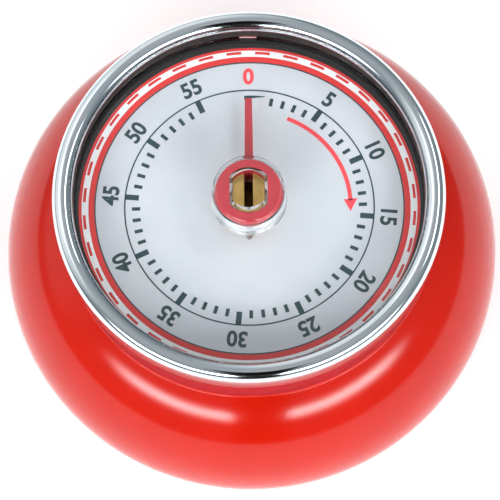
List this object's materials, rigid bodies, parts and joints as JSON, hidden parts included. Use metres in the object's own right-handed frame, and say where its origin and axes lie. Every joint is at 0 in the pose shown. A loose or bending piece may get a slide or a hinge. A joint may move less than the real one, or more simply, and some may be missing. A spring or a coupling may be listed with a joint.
{
  "type": "kitchen timer",
  "caption": "Wind-up magnetic kitchen timer: round case, chromed turning bezel with clear lens and pointer over a 0 to 55 minute dial, clockwork movement and bell inside.",
  "frame": {"origin": "centre of the flat back, in the plane that the timer rests on or holds to a steel door with", "axes": "+Z out through the dial along the spindle, +Y towards 0 minutes, +X towards 15 minutes"},
  "size_m": [0.07, 0.07, 0.04],
  "materials": {
    "case_enamel": "high gloss red",
    "black_plastic": "fine grained moulding",
    "chrome": "bright plated",
    "clear_lens": "clear polished acrylic",
    "pointer_red": "moulded red",
    "dial_silver": "pale silver print",
    "plate_brass": "rolled sheet",
    "brass": "machined",
    "steel": "zinc plated",
    "blued_steel": "tempered blue",
    "bell_nickel": "nickel plated",
    "ferrite": "ground ferrite"
  },
  "bodies": {
    "case": {"body_shell": "case_enamel", "back_cover": "black_plastic", "cover_screws": "steel", "magnet": "ferrite", "magnet_backing": "steel", "bell": "bell_nickel", "bell_screw": "steel", "dial": "dial_silver", "front_plate": "plate_brass", "back_plate": "plate_brass", "pillars": "steel", "pillar_nuts": "steel", "plate_screws": "steel", "stop_pin": "steel", "mainspring": "blued_steel", "trip_post": "steel", "hammer_post": "steel", "hammer_spring": "steel", "trip_spring": "steel"},
    "dial_ring": {"bezel": "chrome", "lens": "clear_lens", "lens_clip": "steel", "pointer": "pointer_red", "spindle": "brass", "stop_finger": "steel", "great_wheel": "brass", "clutch_washer": "steel", "clutch_clip": "steel", "trip_cam": "steel"},
    "second_set": {"second_arbor": "steel", "second_pinion": "steel", "second_wheel": "brass", "strike_wheel": "brass"},
    "third_set": {"third_arbor": "steel", "third_pinion": "steel", "third_wheel": "brass"},
    "escape_set": {"escape_arbor": "steel", "escape_pinion": "steel", "escape_wheel": "brass"},
    "pallet_set": {"pallet_arbor": "steel", "pallet_lever": "steel", "pallet_pins": "steel", "balance_bar": "brass"},
    "trip": {"trip_lever": "steel"},
    "hammer": {"hammer_lever": "steel", "hammer_head": "brass"}
  },
  "joints": [
    {"name": "dial_turn", "type": "hinge", "parent": "case", "child": "dial_ring", "pos_m": [0, 0, 0], "axis": [0, 0, 1], "range_deg": [-336, 0], "deforming": ["mainspring"]},
    {"name": "second_turn", "type": "hinge", "parent": "case", "child": "second_set", "pos_m": [-0.01314, -0.00352, 0.02], "axis": [0, 0, 1], "range_deg": [0, 2520]},
    {"name": "third_turn", "type": "hinge", "parent": "case", "child": "third_set", "pos_m": [-0.00699, -0.0127, 0.02], "axis": [0, 0, 1], "range_deg": [-18900, 0]},
    {"name": "escape_turn", "type": "hinge", "parent": "case", "child": "escape_set", "pos_m": [0.00222, -0.01484, 0.02], "axis": [0, 0, 1], "range_deg": [0, 151200]},
    {"name": "pallet_swing", "type": "hinge", "parent": "case", "child": "pallet_set", "pos_m": [0.01046, -0.01276, 0.02], "axis": [0, 0, 1], "range_deg": [-4, 4]},
    {"name": "trip_lift", "type": "hinge", "parent": "case", "child": "trip", "pos_m": [-0.00452, 0.00696, 0.0155], "axis": [0, 0, 1], "range_deg": [-10, 0], "deforming": ["trip_spring"]},
    {"name": "hammer_swing", "type": "hinge", "parent": "case", "child": "hammer", "pos_m": [-0.00919, 0.00771, 0.0155], "axis": [0, 0, 1], "range_deg": [-8, 2.5], "stiffness_Nm_per_rad": 0.001, "deforming": ["hammer_spring"]}
  ],
  "couplings": [
    {"joint": "second_turn", "follows": "dial_turn", "ratio": -7.5},
    {"joint": "third_turn", "follows": "dial_turn", "ratio": 56.25},
    {"joint": "escape_turn", "follows": "dial_turn", "ratio": -450},
    {"joint": "trip_lift", "follows": "dial_turn", "ratio": 0.029762}
  ]
}
